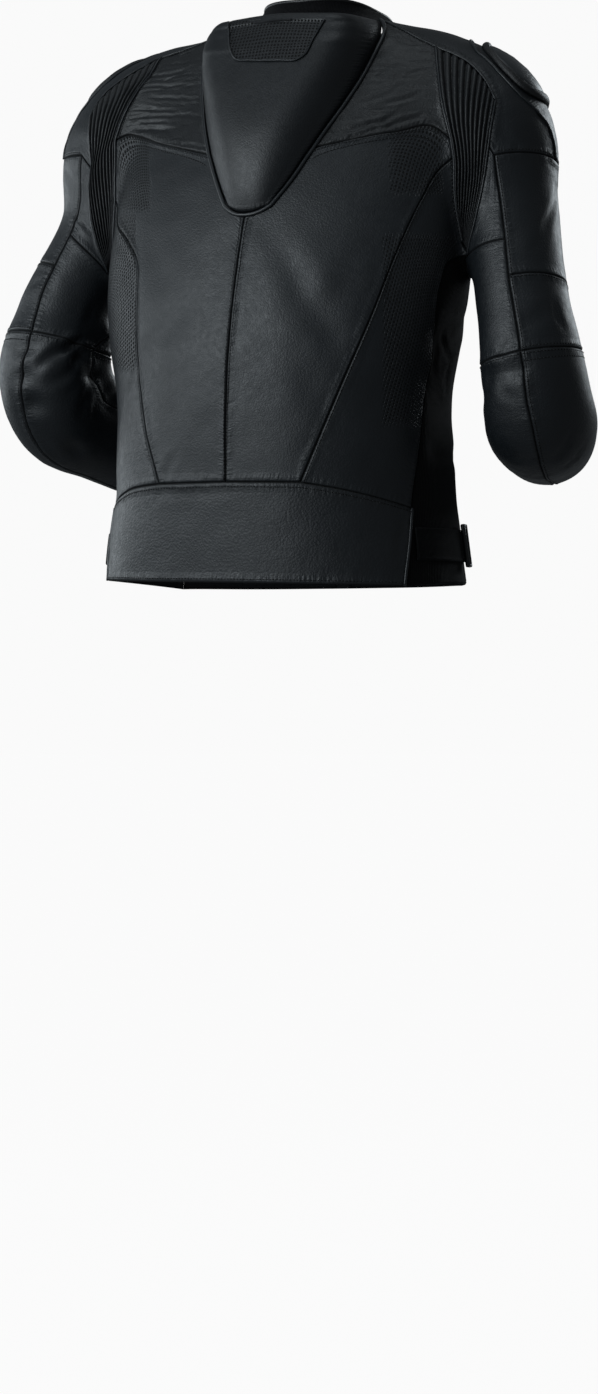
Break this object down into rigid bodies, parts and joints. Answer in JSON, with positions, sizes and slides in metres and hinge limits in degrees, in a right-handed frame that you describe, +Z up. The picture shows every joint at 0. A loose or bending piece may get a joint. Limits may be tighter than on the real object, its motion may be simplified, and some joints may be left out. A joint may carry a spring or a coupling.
{
  "type": "leather motorcycle jacket",
  "caption": "Close-fitting leather sports jacket, empty in its worn shape: seamed panels, back hump, ribbed stretch panels behind the shoulders, bent sleeves, short collar and centre zip.",
  "frame": {"origin": "the point inside the base of the neck, on the middle line, by which the wearer holds the jacket up", "axes": "+Z up, the front faces -Y, the back faces +Y and the wearer's left is +X"},
  "size_m": [0.6978, 0.394, 0.6343],
  "materials": {
    "leather": "satin black cowhide",
    "soft_leather": "softer satin black leather",
    "stretch_fabric": "matt black ribbed stretch cloth",
    "collar_textile": "matt black bound neoprene",
    "moulded_plastic": "moulded black plastic",
    "dark_metal": "blackened metal"
  },
  "bodies": {
    "jacket": {"adjuster_loop_left": "moulded_plastic", "adjuster_loop_right": "moulded_plastic", "adjuster_strap_left": "stretch_fabric", "adjuster_strap_right": "stretch_fabric", "centre_back_left": "leather", "centre_back_right": "leather", "collar": "collar_textile", "front_left": "leather", "front_right": "leather", "hump": "leather", "rib_panel_left": "soft_leather", "rib_panel_right": "soft_leather", "shoulder_cap_left": "leather", "shoulder_cap_right": "leather", "shoulder_cup_left": "moulded_plastic", "shoulder_cup_right": "moulded_plastic", "shoulder_left": "leather", "shoulder_right": "leather", "side_back_left": "leather", "side_back_right": "leather", "side_stretch_left": "stretch_fabric", "side_stretch_right": "stretch_fabric", "sleeve_lower_left": "leather", "sleeve_lower_right": "leather", "sleeve_middle_left": "leather", "sleeve_middle_right": "leather", "sleeve_under_lower_left": "leather", "sleeve_under_lower_right": "leather", "sleeve_under_upper_left": "leather", "sleeve_under_upper_right": "leather", "sleeve_upper_left": "leather", "sleeve_upper_right": "leather", "waistband_back": "leather", "yoke_left": "soft_leather", "yoke_right": "soft_leather", "zip": "dark_metal", "zip_slider": "dark_metal"},
    "pull_tab": {"zip_pull": "dark_metal"}
  },
  "joints": [
    {"name": "pull_tab_hinge", "type": "hinge", "parent": "jacket", "child": "pull_tab", "pos_m": [0, -0.0726, 0.01], "axis": [-1, 0, 0], "range_deg": [0, 150]}
  ]
}
